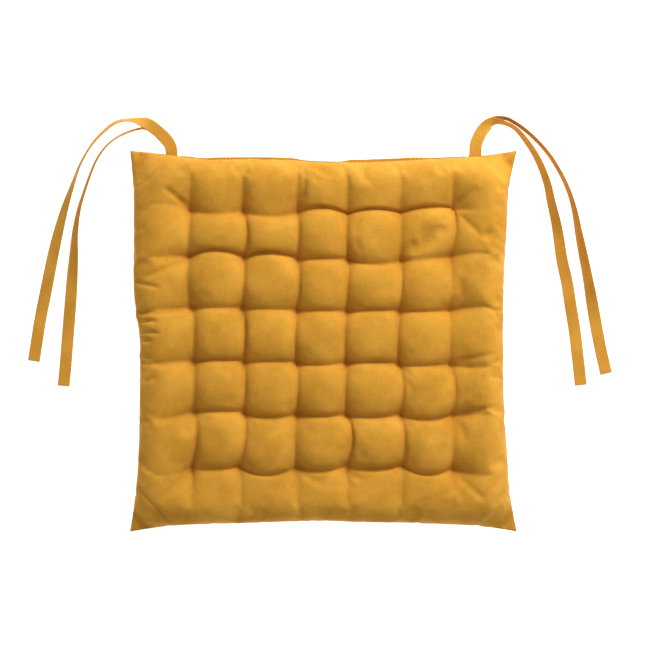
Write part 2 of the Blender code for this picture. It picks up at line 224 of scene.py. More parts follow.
def cotton(name, deep, light, threads, bump_mm, sheen):
    """Woven cotton: yarn colours from deep to light, threads per mm, bump height and fuzz."""
    material = bpy.data.materials.new(name)
    material.use_nodes = True
    tree = material.node_tree
    shader = tree.nodes["Principled BSDF"]
    flat = node(tree, "ShaderNodeUVMap", uv_map="cloth")
    to_mm = node(tree, "ShaderNodeVectorMath", operation="SCALE")
    to_mm.inputs["Scale"].default_value = 1 / MM
    tree.links.new(flat.outputs["UV"], to_mm.inputs[0])
    weave = node(tree, "ShaderNodeGroup", node_tree=WEAVE)
    weave.inputs["Threads per mm"].default_value = threads
    tree.links.new(to_mm.outputs[0], weave.inputs["Cloth mm"])
    ramp = node(tree, "ShaderNodeValToRGB")
    ramp.color_ramp.elements[0].color = (*deep, 1.0)
    ramp.color_ramp.elements[1].color = (*light, 1.0)
    ramp.color_ramp.elements[0].position = TONE_RANGE[0]
    ramp.color_ramp.elements[1].position = TONE_RANGE[1]
    tree.links.new(weave.outputs["Tone"], ramp.inputs["Fac"])
    # Painted shade: where the "fold" attribute is above 0, the yellow is multiplied towards the painted
    # valley shade
    fold = node(tree, "ShaderNodeAttribute", attribute_name="fold")
    shade = node(tree, "ShaderNodeMix", data_type="RGBA", blend_type="MULTIPLY")
    shade.inputs[7].default_value = (*PAINTED_VALLEY_SHADE, 1.0)
    tree.links.new(fold.outputs["Fac"], shade.inputs["Factor"])
    tree.links.new(ramp.outputs["Color"], shade.inputs[6])
    tree.links.new(shade.outputs[2], shader.inputs["Base Color"])
    bump = node(tree, "ShaderNodeBump")
    bump.inputs["Strength"].default_value = 0.6
    bump.inputs["Distance"].default_value = bump_mm * MM
    tree.links.new(weave.outputs["Height"], bump.inputs["Height"])
    tree.links.new(bump.outputs["Normal"], shader.inputs["Normal"])
    shader.inputs["Roughness"].default_value = 0.88
    shader.inputs["Specular IOR Level"].default_value = 0.25
    shader.inputs["Sheen Weight"].default_value = sheen
    shader.inputs["Sheen Roughness"].default_value = 0.45
    shader.inputs["Sheen Tint"].default_value = (1.0, 0.80, 0.45, 1.0)
    return material


COVER = cotton("mustard cotton", (0.550, 0.250, 0.018), (0.715, 0.345, 0.036), 2.2, 0.12, 0.06)
TAPE = cotton("mustard tape", (0.580, 0.265, 0.024), (0.720, 0.345, 0.040), 2.2, 0.12, 0.08)
THREAD = cotton("matching thread", (0.360, 0.150, 0.012), (0.450, 0.200, 0.018), 3.0, 0.12, 0.06)
FIBRE = cotton("white fibre", (0.80, 0.79, 0.76), (0.88, 0.87, 0.84), 0.4, 0.60, 0.30)


# %% Mesh helpers
def grid_faces(rows, columns, round_columns=False):
    """Quads over a grid of points in rows, joined back to the first column where it is round."""
    index = np.arange(rows * columns).reshape(rows, columns)
    if round_columns:
        index = np.hstack([index, index[:, :1]])
    corners = index[:-1, :-1], index[:-1, 1:], index[1:, 1:], index[1:, :-1]
    return np.stack(corners, axis=-1).reshape(-1, 4)


def piece(name, points, faces, material, flat, caps=()):
    """A smooth mesh object; flat gives each point's place on the cloth before it was shaped."""
    mesh = bpy.data.meshes.new(name)
    mesh.from_pydata(points.reshape(-1, 3).tolist(), [], [list(f) for f in faces] + list(caps))
    mesh.polygons.foreach_set("use_smooth", np.ones(len(mesh.polygons), bool))
    corner = np.empty(len(mesh.loops), np.int32)
    mesh.loops.foreach_get("vertex_index", corner)
    uv = mesh.uv_layers.new(name="cloth")
    uv.data.foreach_set("uv", flat.reshape(-1, 2)[corner].astype(np.float32).ravel())
    mesh.materials.append(material)
    made = bpy.data.objects.new(name, mesh)
    bpy.context.scene.collection.objects.link(made)
    return made


def end_rings(rings, around):
    """The two faces that close a tube of rings, each with so many points around."""
    return [tuple(range(around))[::-1], tuple(range((rings - 1) * around, rings * around))]


def travelled(line):
    """The distance along a line of points, from its start."""
    return np.concatenate([[0.0], np.cumsum(np.linalg.norm(np.diff(line, axis=0), axis=1))])


def frame_along(line, across):
    """Two directions at each point of a line: along it, and square to both it and across."""
    travel = np.gradient(line, axis=0)
    travel /= np.linalg.norm(travel, axis=1)[:, None]
    square = np.cross(across, travel)
    return travel, square / np.linalg.norm(square, axis=1)[:, None]


SPAN_POINTS = 24


def smooth_line(knots, spacing):
    """Evenly spaced points on a Catmull-Rom curve through the knots, with any further columns."""
    ends = np.vstack([2 * knots[0] - knots[1], knots, 2 * knots[-1] - knots[-2]])
    before, start, end, after = (ends[i : len(ends) - 3 + i, None, :] for i in range(4))
    t = np.linspace(0, 1, SPAN_POINTS, endpoint=False)[None, :, None]
    curve = 0.5 * (
        2 * start
        + (end - before) * t
        + (2 * before - 5 * start + 4 * end - after) * t**2
        + (3 * start - before - 3 * end + after) * t**3
    )
    curve = np.vstack([curve.reshape(-1, knots.shape[1]), knots[-1]])
    way = travelled(curve[:, :3])
    even = np.linspace(0, way[-1], int(round(way[-1] / spacing)) + 1)
    return np.stack([np.interp(even, way, column) for column in curve.T], axis=1)


# %% [markdown]
# ## The ties
# Each tie is one flat cotton tape, folded in the middle, so two tails leave the seam together,
# one over the other. A tape lies flat, stands on edge where it turns a corner in its own plane,
# and lies flat again. So each tail is a route with a lean: 0 is flat and 90 is on edge. The
# route's points are given one by one, as for any cord. Heights are above lying on the seat.
#
# A tie swings about an upright hinge where it leaves the seam. The first stretch of each tail,
# its root, is a piece of its own, and the rest turns with the tie.
# One blended piece wouldn't do, because the tail curls back beside the pad, and a blend that
# goes by distance from the hinge would leave its far end behind.

# %% Routes, from each tie's pivot: x, y, height, lean
TAPE_WIDTH = 12.5 * MM
TAPE_THICKNESS = 1.2 * MM
FLOOR_GAP = 0.3 * MM
LEFT_OUTER_ROUTE = [
    (0.0000, 0.0000, 0.0198, 0),
    (-0.0020, 0.0065, 0.0195, 0),
    (-0.0065, 0.0120, 0.0190, 0),
    (-0.0125, 0.0185, 0.0178, 0),
    (-0.0205, 0.0250, 0.0154, 4),
    (-0.0285, 0.0295, 0.0112, 25),
    (-0.0375, 0.0320, 0.0045, 60),
    (-0.0475, 0.0325, 0.0010, 74),
    (-0.0565, 0.0310, 0.0000, 72),
    (-0.0645, 0.0265, 0.0000, 71),
    (-0.0715, 0.0205, 0.0000, 72),
    (-0.0785, 0.0135, 0.0000, 74),
    (-0.0855, 0.0045, 0.0000, 76),
    (-0.0915, -0.0055, 0.0000, 76),
    (-0.0965, -0.0155, 0.0000, 75),
    (-0.1005, -0.0260, 0.0000, 71),
    (-0.1045, -0.0375, 0.0000, 64),
    (-0.1085, -0.0490, 0.0000, 56),
    (-0.1125, -0.0615, 0.0000, 46),
    (-0.1160, -0.0740, 0.0000, 37),
    (-0.1195, -0.0875, 0.0000, 28),
    (-0.1235, -0.1045, 0.0000, 18),
    (-0.1275, -0.1235, 0.0000, 9),
    (-0.1325, -0.1485, 0.0000, 3),
    (-0.1375, -0.1735, 0.0000, 0),
    (-0.1415, -0.1985, 0.0000, 0),
    (-0.1445, -0.2185, 0.0000, 0),
]
LEFT_INNER_ROUTE = [
    (0.0000, 0.0000, 0.0168, 0),
    (-0.0020, 0.0065, 0.0160, 0),
    (-0.0060, 0.0125, 0.0142, 5),
    (-0.0120, 0.0185, 0.0100, 18),
    (-0.0195, 0.0230, 0.0045, 45),
    (-0.0280, 0.0245, 0.0010, 70),
    (-0.0365, 0.0230, 0.0000, 78),
    (-0.0455, 0.0200, 0.0000, 79),
    (-0.0545, 0.0160, 0.0000, 79),
    (-0.0625, 0.0110, 0.0000, 79),
    (-0.0695, 0.0045, 0.0000, 78),
    (-0.0755, -0.0035, 0.0000, 77),
    (-0.0805, -0.0125, 0.0000, 76),
    (-0.0845, -0.0225, 0.0000, 75),
    (-0.0885, -0.0335, 0.0000, 74),
    (-0.0925, -0.0455, 0.0000, 72),
    (-0.0965, -0.0585, 0.0000, 68),
    (-0.0995, -0.0735, 0.0000, 61),
    (-0.1015, -0.0895, 0.0000, 52),
    (-0.1025, -0.1075, 0.0000, 38),
    (-0.1040, -0.1275, 0.0000, 22),
    (-0.1055, -0.1485, 0.0000, 9),
    (-0.1075, -0.1735, 0.0000, 2),
    (-0.1095, -0.1985, 0.0000, 0),
    (-0.1115, -0.2235, 0.0000, 0),
    (-0.1135, -0.2445, 0.0000, 0),
]
RIGHT_INNER_ROUTE = [
    (0.0000, 0.0000, 0.0198, 0),
    (0.0005, 0.0070, 0.0195, 0),
    (0.0040, 0.0155, 0.0186, 0),
    (0.0090, 0.0230, 0.0168, 6),
    (0.0150, 0.0280, 0.0132, 32),
    (0.0220, 0.0298, 0.0062, 66),
    (0.0295, 0.0295, 0.0010, 76),
    (0.0370, 0.0270, 0.0000, 78),
    (0.0435, 0.0225, 0.0000, 77),
    (0.0495, 0.0160, 0.0000, 74),
    (0.0555, 0.0080, 0.0000, 71),
    (0.0615, -0.0010, 0.0000, 68),
    (0.0675, -0.0125, 0.0000, 64),
    (0.0725, -0.0245, 0.0000, 60),
    (0.0765, -0.0370, 0.0000, 56),
    (0.0790, -0.0495, 0.0000, 51),
    (0.0820, -0.0620, 0.0000, 46),
    (0.0850, -0.0750, 0.0000, 40),
    (0.0875, -0.0890, 0.0000, 32),
    (0.0910, -0.1120, 0.0000, 22),
    (0.0965, -0.1370, 0.0000, 13),
    (0.1005, -0.1620, 0.0000, 5),
    (0.1045, -0.1865, 0.0000, 0),
    (0.1075, -0.2115, 0.0000, 0),
    (0.1110, -0.2435, 0.0000, 0),
]
RIGHT_OUTER_ROUTE = [
    (0.0000, 0.0000, 0.0168, 0),
    (0.0010, 0.0070, 0.0160, 0),
    (0.0045, 0.0160, 0.0138, 8),
    (0.0100, 0.0246, 0.0092, 24),
    (0.0170, 0.0312, 0.0030, 56),
    (0.0250, 0.0344, 0.0000, 74),
    (0.0335, 0.0338, 0.0000, 79),
    (0.0420, 0.0295, 0.0000, 80),
    (0.0500, 0.0240, 0.0000, 80),
    (0.0590, 0.0165, 0.0000, 80),
    (0.0685, 0.0070, 0.0000, 80),
    (0.0780, -0.0045, 0.0000, 79),
    (0.0860, -0.0170, 0.0000, 78),
    (0.0930, -0.0300, 0.0000, 77),
    (0.0985, -0.0430, 0.0000, 75),
    (0.1025, -0.0560, 0.0000, 72),
    (0.1055, -0.0690, 0.0000, 66),
    (0.1080, -0.0830, 0.0000, 59),
    (0.1110, -0.0980, 0.0000, 51),
    (0.1145, -0.1150, 0.0000, 45),
    (0.1185, -0.1350, 0.0000, 38),
    (0.1230, -0.1600, 0.0000, 17),
    (0.1275, -0.1850, 0.0000, 4),
    (0.1325, -0.2100, 0.0000, 0),
    (0.1375, -0.2315, 0.0000, 0),
]
# From its root on; with the root each tail is 360 mm
SEAM_END = 4.0 * MM
RING_SPACING = 0.8 * MM
HEM_DEPTH = 8.0 * MM
HEM_STITCH = 1.5 * MM
STITCH_PITCH = 3.2 * MM
STITCH_FROM_EDGE = 1.6 * MM
STITCH_WIDTH = 0.35 * MM
TURNED_EDGE = 1.9 * MM
EDGE_DIP = 0.10 * MM
EDGE_DIP_SWING = 0.06 * MM
HEM_DIP = 0.16 * MM
HEM_SWELL = 0.55
PLACES_ACROSS = 31


# %% A tape along a route
def route_line(pivot, route, below):
    """The tape's middle line and its lean: out of the seam at the tab's upper or lower face,
    then along the route. Height = the route's, plus half the tape's width times the sine of its
    lean, so that a tape on edge stands on the seat, plus half its thickness and a hair."""
    knots = np.array(route, float)
    root = SEAM_HEIGHT - FLOOR_GAP - TAPE_THICKNESS / 2
    root += -TAPE_THICKNESS if below else TAPE_THICKNESS
    turn = pivot.y - EDGE_AT_TIE
    inside = np.array([[0.0, -turn - SEAM_END, root, 0.0], [0.0, -turn, root, 0.0]])
    line = smooth_line(np.vstack([inside, knots]), RING_SPACING)
    lean = np.radians(line[:, 3])
    lying = TAPE_WIDTH / 2 * np.abs(np.sin(lean)) + TAPE_THICKNESS / 2 * np.cos(lean)
    z = line[:, 2] + lying + FLOOR_GAP
    return np.column_stack([pivot.x + line[:, 0], pivot.y + line[:, 1], z]), lean


def tape_section(width):
    """Places across a tape and half its thickness there, once round: the top from left to right
    of the tape's travel, then the underside back. Half thickness = a flat top with round edges,
    a little more in the turned-in edge, and a dip along the line of edge stitching."""
    turn = np.linspace(np.pi / 2, -np.pi / 2, PLACES_ACROSS)
    across = np.sin(turn) * width / 2
    flat_top = (1 - np.abs(2 * across / width) ** 10) ** 0.5
    from_edge = width / 2 - np.abs(across)
    turned_in = 0.5 + 0.5 * np.tanh((TURNED_EDGE - from_edge) / (0.25 * MM))
    stitched = np.exp(-(((from_edge - STITCH_FROM_EDGE) / STITCH_WIDTH) ** 2))
    top = TAPE_THICKNESS / 2 * flat_top * (0.86 + 0.14 * turned_in)
    return across, top, stitched


def tape(name, line, lean, width, hemmed, kept=slice(None)):
    """A woven tape: its section carried along the line. The tape's own sideways direction is the
    level left of its travel turned up by the lean. Stitches pull the edge line in at each pitch,
    and a hem at the far end is the tape folded double and sewn across. kept says which rings are
    made, so that two pieces of one tape meet exactly."""
    travel, left = frame_along(line, (0.0, 0.0, 1.0))
    side = left * np.cos(lean)[:, None] + np.cross(travel, left) * np.sin(lean)[:, None]
    face = np.cross(travel, side)
    way = travelled(line)
    to_end = way[-1] - way
    across, top, stitched = tape_section(width)
    pull = EDGE_DIP + EDGE_DIP_SWING * np.cos(2 * np.pi * way / STITCH_PITCH)
    doubled = 0.5 + 0.5 * np.tanh((HEM_DEPTH - to_end) / (0.5 * MM)) if hemmed else 0 * way
    sewn_over = np.exp(-(((to_end - HEM_DEPTH + HEM_STITCH) / (0.5 * MM)) ** 2)) * doubled
    half = top[None, :] * (1 + HEM_SWELL * doubled[:, None])
    dip = pull[:, None] * stitched[None, :] + HEM_DIP * sewn_over[:, None]
    half = np.maximum(half - dip, 0.25 * half)
    once_round = np.concatenate([across, across[-2:0:-1]])
    heights = np.hstack([half, -half[:, -2:0:-1]])[..., None] * face[:, None]
    points = (line[:, None] + once_round[:, None] * side[:, None] + heights)[kept]
    around = np.concatenate([across, 2 * across[-1] - across[-2:0:-1]])
    flat = np.stack(np.broadcast_arrays(around[None, :], way[:, None]), axis=-1)[kept]
    faces = grid_faces(*points.shape[:2], True)
    return piece(name, points, faces, TAPE, flat, end_rings(*points.shape[:2]))


# %% The tabs and the four tails
TAB_INSIDE = 7 * MM
TAB_OUTSIDE = 3.5 * MM
EDGE_AT_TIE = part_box("tie_left_tab")[0].y + TAB_INSIDE
TAB_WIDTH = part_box("tie_left_tab")[1].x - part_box("tie_left_tab")[0].x
# Measured from the hinge: where the root ends
ROOT_RISE = 14 * MM
TAILS = {
    "left": (("outer", LEFT_OUTER_ROUTE, False), ("inner", LEFT_INNER_ROUTE, True)),
    "right": (("inner", RIGHT_INNER_ROUTE, False), ("outer", RIGHT_OUTER_ROUTE, True)),
}


def tab(name, pivot):
    """The folded middle of the tie, between its two tails where they enter the seam."""
    stops = np.array([-TAB_INSIDE, 0.0, TAB_OUTSIDE])
    knots = np.column_stack([pivot.x + 0 * stops, EDGE_AT_TIE + stops, SEAM_HEIGHT + 0 * stops])
    line = smooth_line(knots, RING_SPACING)
    return tape(name, line, np.zeros(len(line)), TAB_WIDTH, False)


for side, tails in TAILS.items():
    pivot = Vector(JOINTS[f"tie_{side}_swing"]["pos_m"])
    fold = tab(f"{side}_tab", pivot)
    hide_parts(f"tie_{side}_tab")
    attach(fold, "pad")
    for place, route, below in tails:
        line, lean = route_line(pivot, route, below)
        split = int(np.argmax(line[:, 1] > pivot.y + ROOT_RISE))
        root = tape(f"{side}_{place}_root", line, lean, TAPE_WIDTH, False, slice(None, split + 1))
        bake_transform(root)
        tail = tape(f"{side}_{place}_tape", line, lean, TAPE_WIDTH, True, slice(split, None))
        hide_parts(f"tie_{side}_{place}")
        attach(tail, f"tie_{side}")
        print(tail.name, "measures", round(float(travelled(line)[-1]), 4), "m")


# %% [markdown]
# ## The stuffed cover
# The cover starts as two flat grids of cloth, one above the other, that share their outermost
# points: the seam. Lines of the grid run through every tuft, and the tufts stand where the
# maker's chalk marks fell, a few millimetres off an even spacing. The grid is first raised by
# formula into pillows with valleys between them. Then Blender's cloth does what a formula can't:
# the panels are given a little spare cloth (a shrink below zero) and blown up from inside, while
# the tufts are held and the seam is held softly. The spare cloth has to go somewhere, so it
# breaks into small folds at each tuft and along the seam. One light smoothing afterwards takes
# out the ripples that are no wider than a cell of the grid.

# %% Where the tufts are, and how the valleys between them bend
COLUMN_MARKS = np.array([-136.6, -83.6, -26.6, 24.6, 80.3, 134.4]) * MM
ROW_MARKS = np.array([-132.7, -75.6, -22.5, 32.2, 85.8, 136.3]) * MM
# How far each tuft slipped from where its two lines cross, front row first, in millimetres
SLIPS_X = np.array(
    [
        [-0.5, -3.5, 0.0, -0.5, 2.0, 1.0],
        [2.0, 1.5, -0.5, 0.0, 0.0, 1.0],
        [1.0, 1.0, 0.0, -0.5, -1.0, -0.5],
        [1.0, -0.5, -0.5, 0.0, -1.0, -1.5],
        [-2.0, 1.0, 0.0, 2.0, 0.0, -1.5],
        [-2.0, 0.5, 0.0, 0.0, -1.0, 0.5],
    ]
) * MM
SLIPS_Y = np.array(
    [
        [0.7, -0.3, -0.8, 1.2, 0.7, -1.3],
        [2.8, 1.3, -0.7, -1.2, -0.7, -1.7],
        [1.7, 1.2, 0.2, 0.2, -1.3, -1.8],
        [2.5, 1.5, -0.5, -1.5, -1.5, -1.0],
        [2.4, 0.9, -0.6, -1.1, -2.6, 0.9],
        [0.8, 0.3, -0.7, -0.7, -0.2, 0.8],
    ]
) * MM
CELLS = 112
TOP_RISE = 22.5 * MM
BOTTOM_RISE = 20.5 * MM
TUFT_RISE = 3.5 * MM
VALLEY_SHARE = 0.60
LAST_GAP = len(COLUMN_MARKS)
BODY_PROFILE = (0.575, 2.3, 0.62)
RIDGE_PROFILE = (1.1, 2.0, 0.75)
BORDER_FILLS = 1.3
EDGE_ROUND = 40 * MM
EAR_FLAT = 12 * MM
EAR_FILLS = 34 * MM
# How far each side is drawn in, at evenly spaced places along it, from left to right or from
# front to back in millimetres
DRAWN_IN_LEFT = np.array([0, 5.5, 8.5, 9.5, 9.8, 9.8, 5.0, 3.6, 3.6, 3.2, 0]) * MM
DRAWN_IN_RIGHT = np.array([0, 7.0, 9.5, 12.5, 13.5, 14.0, 13.5, 12.5, 10.0, 8.0, 0]) * MM
DRAWN_IN_FRONT = np.array([0, 5.5, 7.5, 8.5, 10.0, 10.8, 9.5, 9.0, 7.5, 5.5, 0]) * MM
DRAWN_IN_BACK = np.array([0, 4.0, 8.5, 8.5, 9.0, 11.5, 11.0, 9.5, 7.5, 5.5, 0]) * MM
# How far each valley bows: row valleys away from the front, front row first, in the left border,
# the five gaps and the right border; column valleys to the right, left column first, in the
# front border, the five gaps and the back border. In millimetres
ROW_BOWS = np.array(
    [
        [-6.0, -2.0, -7.5, -4.0, -3.0, -7.0, -6.0],
        [-5.0, 1.0, -4.0, -1.5, -2.5, -4.5, 0.0],
        [0.0, 1.5, 0.7, -2.5, 1.0, -1.5, -4.0],
        [0.0, 0.0, 0.0, 0.0, 1.0, -0.5, 3.0],
        [0.0, 7.0, 5.8, 0.5, -4.3, -1.0, 4.0],
        [5.0, -4.0, -6.0, 5.5, 3.8, 3.5, 0.0],
    ]
) * MM
COLUMN_BOWS = np.array(
    [
        [0.0, 3.0, -0.5, 0.0, -3.5, -1.0, 0.0],
        [0.0, 3.0, 1.0, 2.0, 1.0, 4.0, 0.0],
        [0.0, -3.0, 0.0, -2.5, 1.5, 1.0, 0.0],
        [0.0, 5.0, -2.0, -2.5, -1.0, -2.0, 0.0],
        [0.0, 3.0, 2.5, -2.0, 1.5, -0.5, 0.0],
        [0.0, 0.0, 4.0, 0.5, 2.0, 3.5, 0.0],
    ]
) * MM
# How sharply each valley is cut, in the same order, from 0 to 1
ROW_CUTS = np.array(
    [
        [0.0, 0.4, 0.5, 0.7, 0.9, 0.5, 0.0],
        [0.0, 0.4, 0.5, 0.5, 0.5, 0.3, 0.1],
        [0.1, 0.7, 0.2, 0.1, 0.4, 0.1, 0.1],
        [0.1, 0.1, 0.1, 0.2, 0.4, 0.1, 0.1],
        [0.0, 0.6, 0.9, 0.4, 0.1, 0.2, 0.1],
        [0.1, 0.1, 0.1, 1.0, 0.8, 0.7, 0.0],
    ]
)
COLUMN_CUTS = np.array(
    [
        [0.0, 0.4, 0.2, 0.4, 0.2, 0.2, 0.0],
        [0.0, 0.1, 0.2, 0.8, 0.2, 0.2, 0.1],
        [0.0, 0.0, 0.0, 0.2, 0.2, 0.2, 0.5],
        [0.0, 0.3, 0.1, 0.1, 0.1, 0.1, 0.1],
        [0.0, 0.2, 0.1, 0.2, 0.1, 0.1, 0.1],
        [0.0, 0.0, 0.5, 0.1, 0.1, 0.2, 0.0],
    ]
)
VALLEY_CUT = 3.2 * MM
CUT_NARROWNESS = 11
TENT_BESIDE = 45 * MM


# %% Grid lines through the tufts
def grid_lines(marks, half):
    """Lines from edge to edge with one on each mark: place, gap number, share of the gap, marks."""
    stops = np.concatenate([[-half], marks, [half]])
    gaps = np.diff(stops)
    cells = np.maximum(2, 2 * np.round(gaps / (2 * half) * CELLS / 2).astype(int))
    gap = np.repeat(np.arange(len(cells)), cells)
    first = np.repeat(np.cumsum(cells) - cells, cells)
    share = (np.arange(cells.sum()) - first) / np.repeat(cells, cells)
    place = stops[gap] + gaps[gap] * share
    return (
        np.append(place, half),
        np.append(gap, len(cells) - 1),
        np.append(share, 1.0),
        np.cumsum(cells)[:-1],
    )


def pillow_profile(gap, share, reach, power, root):
    """0 on a tuft line and 1 in mid-gap: 1 minus a power of the distance from the middle, to a
    root. In the border only the half next to the tufts is used, and it goes on to the seam."""
    from_tuft = np.where(gap == 0, 1 - share, share)
    border = (gap == 0) | (gap == LAST_GAP)
    across = np.where(border, np.minimum(from_tuft * reach, 0.5), share)
    return (1 - np.abs(2 * across - 1) ** power) ** root, border, from_tuft


def tents(place, marks):
    """One row for each mark: 1 on its own line, falling straight to 0 at its neighbours."""
    stops = np.concatenate([[marks[0] - TENT_BESIDE], marks, [marks[-1] + TENT_BESIDE]])
    rows = [np.interp(place, stops[k : k + 3], [0.0, 1.0, 0.0]) for k in range(len(marks))]
    return np.array(rows)


across_x, gap_x, share_x, marks_x = grid_lines(COLUMN_MARKS, HALF_WIDTH)
across_y, gap_y, share_y, marks_y = grid_lines(ROW_MARKS, HALF_DEPTH)
FLAT_X, FLAT_Y = np.meshgrid(across_x, across_y)
ROWS, COLUMNS = FLAT_X.shape
print("cloth grid", COLUMNS, "x", ROWS)


# %% The start shape
def smooth_step(share):
    share = np.clip(share, 0, 1)
    return share * share * (3 - 2 * share)


def quarter_circle(share):
    return np.sqrt(1 - (1 - np.clip(share, 0, 1)) ** 2)


def hump(share):
    """0 at both ends of a gap and 1 in its middle: 4 times the share times what is left."""
    return 4 * share * (1 - share)


def drawn_in(table, along):
    """A smooth line through a side's table, at places from -1 to 1 along the side. The line is
    drawn with the table in hundreds of millimetres, so that its length is mostly along the side."""
    stops = np.linspace(-1, 1, len(table))
    curve = smooth_line(np.column_stack([stops, table / (100 * MM), 0 * stops]), 0.01)
    return np.interp(along, curve[:, 0], curve[:, 1]) * 100 * MM


def start_shape():
    """Two grids of points. Height = valley lines that rise between tufts, plus the pillows
    between the lines, all times a quarter circle at the edge, and flat in the ears. In plan each
    valley bows, and each side of the pad is drawn in by its own table, fading by the cube of the
    distance from the middle."""
    body_x, _, _ = pillow_profile(gap_x, share_x, *BODY_PROFILE)
    body_y, _, _ = pillow_profile(gap_y, share_y, *BODY_PROFILE)
    ridge_x, border_x, from_x = pillow_profile(gap_x, share_x, *RIDGE_PROFILE)
    ridge_y, border_y, from_y = pillow_profile(gap_y, share_y, *RIDGE_PROFILE)
    fuller = 1 / VALLEY_SHARE - 1
    ridge_x = ridge_x * np.where(border_x, 1 + fuller * smooth_step(BORDER_FILLS * from_x), 1)
    ridge_y = ridge_y * np.where(border_y, 1 + fuller * smooth_step(BORDER_FILLS * from_y), 1)
    near_x, near_y = tents(across_x, COLUMN_MARKS), tents(across_y, ROW_MARKS)
    x = FLAT_X + near_y.T @ SLIPS_X @ near_x + ((COLUMN_BOWS[:, gap_y] * hump(share_y)).T @ near_x)
    y = FLAT_Y + near_y.T @ SLIPS_Y @ near_x + near_y.T @ (ROW_BOWS[:, gap_x] * hump(share_x))
    along_x, along_y = FLAT_X / HALF_WIDTH, FLAT_Y / HALF_DEPTH
    x += drawn_in(DRAWN_IN_LEFT, along_y) * np.clip(-along_x, 0, 1) ** 3
    x -= drawn_in(DRAWN_IN_RIGHT, along_y) * np.clip(along_x, 0, 1) ** 3
    y += drawn_in(DRAWN_IN_FRONT, along_x) * np.clip(-along_y, 0, 1) ** 3
    y -= drawn_in(DRAWN_IN_BACK, along_x) * np.clip(along_y, 0, 1) ** 3
    in_x = HALF_WIDTH - np.abs(FLAT_X)
    in_y = HALF_DEPTH - np.abs(FLAT_Y)
    edge = quarter_circle(in_x / EDGE_ROUND) * quarter_circle(in_y / EDGE_ROUND)
    edge *= smooth_step((in_x + in_y - EAR_FLAT) / EAR_FILLS)
    body_x, ridge_x = body_x[None, :], ridge_x[None, :]
    body_y, ridge_y = body_y[:, None], ridge_y[:, None]

    def rise(height, valley):
        lines = valley * height * (ridge_x * (1 - body_y) + ridge_y * (1 - body_x))
        return TUFT_RISE + lines + height * body_x * body_y

    top = edge * rise(TOP_RISE - TUFT_RISE, VALLEY_SHARE)
    bottom = -edge * rise(BOTTOM_RISE - TUFT_RISE, VALLEY_SHARE)
    return x, y, top, bottom


def cut_depths():
    """Depth of the sharp valleys = a narrow tent across each line, times a hump along each gap,
    times that gap's own share in the tables."""
    line_x = np.clip(1 - CUT_NARROWNESS * (1 - tents(across_x, COLUMN_MARKS)), 0, 1)
    line_y = np.clip(1 - CUT_NARROWNESS * (1 - tents(across_y, ROW_MARKS)), 0, 1)
    rows = line_y.T @ (ROW_CUTS[:, gap_x] * hump(share_x))
    columns = (COLUMN_CUTS[:, gap_y] * hump(share_y)).T @ line_x
    return VALLEY_CUT * (rows + columns)


# %% Two panels that share the seam
def sewn_together(x, y, top, bottom):
    """Points and faces of both grids as one closed skin, and where each grid point went."""
    inner = np.zeros((ROWS, COLUMNS), bool)
    inner[1:-1, 1:-1] = True
    upper = np.arange(ROWS * COLUMNS).reshape(ROWS, COLUMNS)
    lower = upper.copy()
    lower[inner] = ROWS * COLUMNS + np.arange(inner.sum())
    above = np.stack([x, y, np.where(inner, top, 0.0)], axis=-1)
    below = np.stack([x, y, bottom], axis=-1)
    points = np.vstack([above.reshape(-1, 3), below[inner]])
    cells = grid_faces(ROWS, COLUMNS)
    faces = np.vstack([upper.ravel()[cells], lower.ravel()[cells][:, ::-1]])
    return points, faces, upper, lower, inner


def stuffed(points, faces, tufts, seam):
    """The skin blown up by Blender's cloth, with the tufts pinned and the seam on soft springs."""
    mesh = bpy.data.meshes.new("skin")
    mesh.from_pydata(points.tolist(), [], faces.tolist())
    skin = bpy.data.objects.new("skin", mesh)
    bpy.context.scene.collection.objects.link(skin)
    held = skin.vertex_groups.new(name="held")
    held.add(seam.tolist(), SEAM_HOLD, "REPLACE")
    held.add(tufts.tolist(), 1.0, "REPLACE")
    cloth = skin.modifiers.new("stuffing", "CLOTH")
    cloth.collision_settings.use_collision = False
    settings = cloth.settings
    for name, value in CLOTH.items():
        setattr(settings, name, value)
    settings.vertex_group_mass = "held"
    settings.effector_weights.gravity = 0.0
    for step in range(1, STEPS + 1):
        bpy.context.scene.frame_set(step)
    graph = bpy.context.evaluated_depsgraph_get()
    result = bpy.data.meshes.new_from_object(skin.evaluated_get(graph))
    out = np.empty(len(points) * 3, np.float32)
    result.vertices.foreach_get("co", out)
    bpy.data.objects.remove(skin)
    bpy.data.meshes.remove(result)
    bpy.context.scene.frame_set(1)
    return out.reshape(-1, 3).astype(float)


def eased(grid, keep_x, keep_y):
    """One pass of smoothing along the rows and one along the columns: a point goes a share of
    the way to the middle of its two neighbours, fading to none of it towards the seam."""
    rows = grid.copy()
    bend = grid[:, :-2] + grid[:, 2:] - 2 * grid[:, 1:-1]
    rows[:, 1:-1] += EASE_SHARE * keep_x[None, 1:-1, None] * bend / 2
    out = rows.copy()
    bend = rows[:-2] + rows[2:] - 2 * rows[1:-1]
    out[1:-1] += EASE_SHARE * keep_y[1:-1, None, None] * bend / 2
    return out


